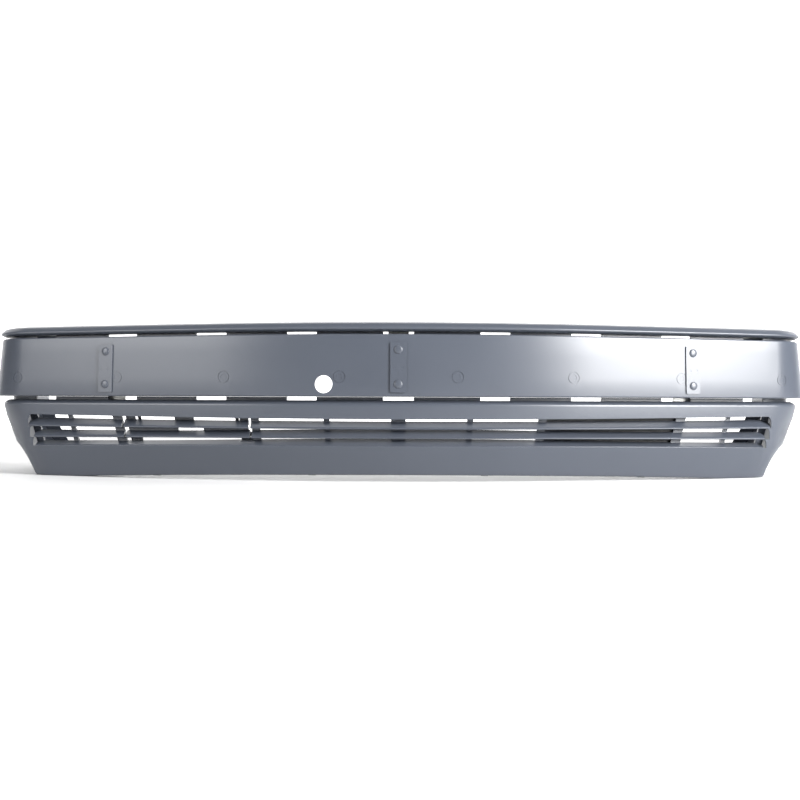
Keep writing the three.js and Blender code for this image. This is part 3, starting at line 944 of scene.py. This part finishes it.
def makeGuideRivet(number, s, up):
    back = -(6 + 0.4 + 0.3)
    profile = [
        (0, back - 1.6),
        (3.7, back - 1.6),
        (4, back - 1.3),
        (4, back),
        (2.5, back),
        (2.5, 0.3),
        (6.5, 0.3),
        (6.4, 0.9),
        (5.4, 1.7),
        (3.6, 2.2),
        (0, 2.4),
    ]
    out = bandForm(s, bandFace(up), up)[1]
    bm = placeAt(facing(spun(profile)), s, out, up, guideTilt)
    finishPiece("guideRivet_%d" % number, bm, zinc,
                ["guide_rivet_%d" % number], edge=0.15)


# ---- under the valance ----

def makeUndertrayNut(number, x):
    nut = {"sheet": 0.8, "width": 15, "hole": 2.6, "flange": 60}
    s = lengthAt(x)
    rear = -nut["flange"] - nut["sheet"] - 0.6
    low = valanceForm(s, 9 - nut["flange"], 0)[2] - 0.3 - nut["sheet"]
    high = valanceForm(s, 9 - nut["flange"], 3)[2] + 0.3 + nut["sheet"]
    line = [(rear + 16, low, 0), (rear, low, 0.9), (rear, high, 0.9), (rear + 20, high, 0)]
    bm = foldedSheet(line, -nut["width"] / 2, nut["width"] / 2, nut["sheet"])
    corners = [
        e for e in bm.edges
        if e.calc_length() < nut["sheet"] + 0.01 and all(-v.co.y > rear + 15 for v in e.verts)
    ]
    roundCorners(bm, corners, 2.5)
    drill = bmesh.new()
    bmesh.ops.create_cone(drill, cap_ends=True, segments=24, radius1=nut["hole"],
                          radius2=nut["hole"], depth=30)
    bmesh.ops.translate(drill, verts=drill.verts, vec=(0, nut["flange"] - 9, (low + high) / 2))
    bm = combine(bm, drill, "DIFFERENCE")
    bm = together([bm, collar(nut, high)])
    placeAt(bm, s, 0, 0)
    finishPiece("undertrayNut_%d" % number, bm, springSteel,
                ["undertray_nut_%d" % number], edge=0.12)


def collar(nut, high):
    # the drawn thread that stands up from the nut's upper leaf
    hole = nut["hole"]
    ring = [(hole, 0.05), (hole + 1, 0.05), (hole + 0.7, 2.6), (hole, 2.6)]
    bm = spun(ring + [ring[0]], 24)
    bmesh.ops.translate(bm, verts=bm.verts, vec=(0, nut["flange"] - 9, high))
    return bm


def makeFlapClip(place, x):
    leaf = [(-37.6, 117, 0), (-40.6, 122, 1.8), (-36.5, 134, 3), (-12.5, 131.6, 0)]
    s = lengthAt(x)
    bm = bend(lean(foldedSheet(leaf, s - 4, s + 4, 1.4)), valanceForm)
    finishPiece("flapClip_" + place, bm, blackPlastic,
                ["flap_clip_" + place], edge=0.25)


def makeHingePins():
    first, last = hingeEnds()
    span = (last - first).length
    length = flap["slot"] + 1.5 + 6
    for place, start, end in (("outer", -6, length), ("inner", span - length, span + 6)):
        bm = alongHinge(flapPin["radius"], start, end)
        finishPiece("flapHingePin_" + place, bm, zinc,
                    ["flap_hinge_pin_" + place], edge=0)


makeUpperLip()
print("upper lip done")
makeCentreBand()
print("centre band done")
makeLowerValance()
print("lower valance done")
makeTowEyeFlap()
makeHingePins()
makeFlapClip("outer", -546)
makeFlapClip("inner", -331)
print("towing-eye flap done")
for place, x in padPlaces.items():
    makePad(place, x)
    makePadRivet(place, "upper", x)
    makePadRivet(place, "lower", x)
    makeHolder(place, x)
print("pads and holders done")
makeBlankingPanel()
for number, (x, up) in enumerate(screwPlaces, 1):
    makeBlankingScrew(number, x, up)
print("blanking panel done")
makeSideGuide("left", -1)
makeSideGuide("right", 1)
for number, (s, up) in enumerate(guideRivets, 1):
    makeGuideRivet(number, s, up)
print("side guides done")
for number, x in enumerate((-520, -180, 180, 520), 1):
    makeUndertrayNut(number, x)
print("undertray nuts done")

# ---- floor, light and camera ----

studio = {
    "distance": 2.0,
    "aside": 0.0146,  # the camera stands a little right of the middle
    "eye": 0.165,
    "roll": -0.2,
    "yaw": 0.32,
    "lens": 46.0,
    "floor": 12.0,
    "screen": 3.2,
    "screenGlow": 1.05,
    "world": 0.2,
    "lamps": [  # name, heading, distance, height, size, power
        ("key", 51, 3.8, 1.35, (1.5, 1.9), 400),
        ("fill", -50, 3.8, 1.3, (1.8, 1.8), 85),
        ("overhead", 10, 0.9, 2.4, (3.0, 0.9), 13),
    ],
}


def makeFloor():
    bm = bmesh.new()
    bmesh.ops.create_grid(bm, x_segments=1, y_segments=1, size=studio["floor"])
    mesh = bpy.data.meshes.new("floor")
    bm.to_mesh(mesh)
    bm.free()
    paint = Finish("paleFloor")
    shade = paint.noise(3.0, 2.0)
    pale = paint.mix(shade, (0.78, 0.78, 0.78), (0.82, 0.82, 0.82))
    mesh.materials.append(paint.set(BaseColor=pale, Roughness=0.7))
    floor = bpy.data.objects.new("floor", mesh)
    bpy.context.scene.collection.objects.link(floor)


def makeBackdrop():
    # a lit white screen behind the cover
    bm = bmesh.new()
    bmesh.ops.create_grid(bm, x_segments=1, y_segments=1, size=studio["floor"] / 2)
    quarterTurn = Matrix.Rotation(math.radians(90), 3, "X")
    bmesh.ops.rotate(bm, cent=(0, 0, 0), matrix=quarterTurn, verts=bm.verts)
    bmesh.ops.translate(bm, vec=(0, studio["screen"], 0), verts=bm.verts)
    mesh = bpy.data.meshes.new("backdrop")
    bm.to_mesh(mesh)
    bm.free()
    paint = Finish("litScreen")
    glow = paint.mix(paint.noise(0.8, 1.0), (0.99, 0.99, 0.99), (1, 1, 1))
    lit = paint.set(EmissionColor=glow, EmissionStrength=studio["screenGlow"], Roughness=0.9)
    mesh.materials.append(lit)
    screen = bpy.data.objects.new("backdrop", mesh)
    bpy.context.scene.collection.objects.link(screen)


def softbox(name, heading, distance, height, size, power, aim=0.2):
    # a rectangular lamp at a heading from straight ahead, aimed at the cover
    light = bpy.data.lights.new(name, "AREA")
    light.shape = "RECTANGLE"
    light.size, light.size_y = size
    light.energy = power
    lamp = bpy.data.objects.new(name, light)
    angle = math.radians(heading)
    lamp.location = (math.sin(angle) * distance, -math.cos(angle) * distance, height)
    toward = Vector((0, -0.1, aim)) - lamp.location
    lamp.rotation_euler = toward.to_track_quat("-Z", "Y").to_euler()
    bpy.context.scene.collection.objects.link(lamp)


def makeStudio():
    makeFloor()
    makeBackdrop()
    for lamp in studio["lamps"]:
        softbox(*lamp)
    world = bpy.data.worlds.new("studio")
    world.use_nodes = True
    world.node_tree.nodes["Background"].inputs["Color"].default_value = (1, 1, 1, 1)
    world.node_tree.nodes["Background"].inputs["Strength"].default_value = studio["world"]
    scene = bpy.context.scene
    scene.world = world
    scene.view_settings.view_transform = "Standard"
    lens = bpy.data.cameras.new("camera")
    lens.lens = studio["lens"]
    lens.sensor_width = 36
    lens.clip_end = 50
    camera = bpy.data.objects.new("camera", lens)
    camera.location = (studio["aside"], noseY - studio["distance"], studio["eye"])
    turn = (90, studio["roll"], studio["yaw"])
    camera.rotation_euler = [math.radians(angle) for angle in turn]
    scene.collection.objects.link(camera)
    scene.camera = camera


makeStudio()
print("studio done")
